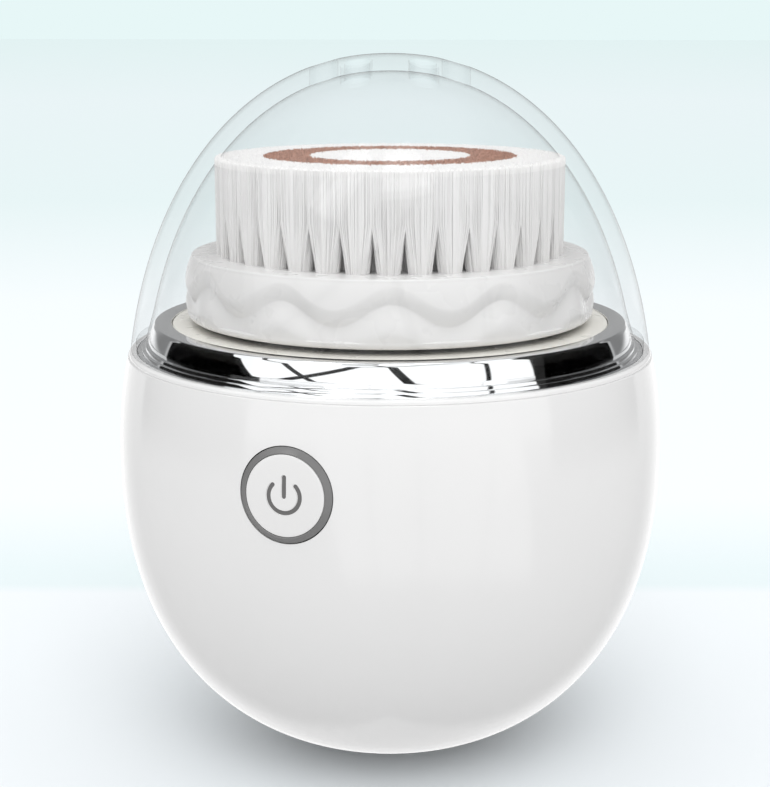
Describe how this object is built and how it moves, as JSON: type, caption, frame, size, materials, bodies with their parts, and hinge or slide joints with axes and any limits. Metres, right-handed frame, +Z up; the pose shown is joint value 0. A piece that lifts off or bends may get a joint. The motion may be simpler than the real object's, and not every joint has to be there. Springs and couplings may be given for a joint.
{
  "type": "facial cleansing brush",
  "caption": "Egg-shaped powered facial cleansing brush with a turning round brush head, chrome ring, push button and clear vented lift-off cover.",
  "frame": {"origin": "centre of the foot pad's underside, on the body's centre line", "axes": "+Z up along the centre line and the brush's axis, -Y towards the power button, +X to the button's right as seen from the front"},
  "size_m": [0.075, 0.075, 0.095],
  "materials": {
    "body_white": "high gloss",
    "soft_grey": "matte silicone",
    "soft_white": "matte silicone",
    "dark_plastic": "matte",
    "grey_ring": "satin",
    "button_white": "gloss",
    "symbol_grey": "satin",
    "board_green": "satin",
    "screw_steel": "zinc plated",
    "cell_wrap": "shrink wrap",
    "inner_white": "moulded",
    "wire_red": "insulation",
    "wire_blue": "insulation",
    "wire_black": "insulation",
    "motor_steel": "ground",
    "gear_nylon": "natural nylon",
    "bronze": "sintered",
    "seal_rubber": "moulded",
    "deck_cream": "satin",
    "bright_chrome": "mirror",
    "head_white": "semi-gloss",
    "bristle_white": "fine filament",
    "bristle_copper": "fine filament",
    "clear_plastic": "clear gloss"
  },
  "bodies": {
    "handle": {"body_shell": "body_white", "foot_pad": "soft_grey", "charge_socket": "dark_plastic", "button_bezel": "grey_ring", "switch_body": "dark_plastic", "control_board": "board_green", "controller_chip": "dark_plastic", "board_screws": "screw_steel", "battery": "cell_wrap", "battery_cradle": "inner_white", "battery_wires": "wire_red", "motor_wires": "wire_blue", "charge_wires": "wire_black", "motor_can": "motor_steel", "motor_end_cap": "inner_white", "motor_screws": "screw_steel", "gearbox_housing": "inner_white", "idler_axle": "motor_steel", "bearing_bush": "bronze", "top_frame": "inner_white", "frame_seal": "seal_rubber", "frame_screws": "screw_steel", "shaft_seal": "seal_rubber", "deck_plate": "deck_cream", "chrome_ring": "bright_chrome"},
    "cover": {"dome_cover": "clear_plastic"},
    "brush_head": {"output_gear": "gear_nylon", "output_shaft": "motor_steel", "brush_base": "head_white", "drive_socket": "inner_white", "outer_bristles": "bristle_white", "copper_bristles": "bristle_copper", "centre_bristles": "bristle_white"},
    "idler": {"idler_gear": "gear_nylon"},
    "motor_rotor": {"motor_shaft": "motor_steel", "motor_pinion": "gear_nylon"},
    "button": {"button_cap": "button_white", "power_symbol": "symbol_grey", "switch_plunger": "dark_plastic"},
    "plug": {"port_plug": "soft_white"}
  },
  "joints": [
    {"name": "cover_lift", "type": "slide", "parent": "handle", "child": "cover", "axis": [0, 0, 1], "range_m": [0, 0.04]},
    {"name": "brush_spin", "type": "hinge", "parent": "handle", "child": "brush_head", "pos_m": [0, 0, 0.0555], "axis": [0, 0, 1], "continuous": true},
    {"name": "idler_spin", "type": "hinge", "parent": "handle", "child": "idler", "pos_m": [0, 0.0138, 0.046], "axis": [0, 0, 1], "continuous": true},
    {"name": "motor_spin", "type": "hinge", "parent": "handle", "child": "motor_rotor", "pos_m": [0, 0, 0.03], "axis": [0, 0, 1], "continuous": true},
    {"name": "button_press", "type": "slide", "parent": "handle", "child": "button", "axis": [0, 1, 0], "range_m": [0, 0.0006], "stiffness_N_per_m": 4000, "springref_m": -0.0002},
    {"name": "plug_pull", "type": "slide", "parent": "handle", "child": "plug", "axis": [0, 1, 0], "range_m": [0, 0.012]}
  ],
  "couplings": [
    {"joint": "idler_spin", "follows": "brush_spin", "ratio": -2.8333},
    {"joint": "motor_spin", "follows": "brush_spin", "ratio": 10.2}
  ]
}
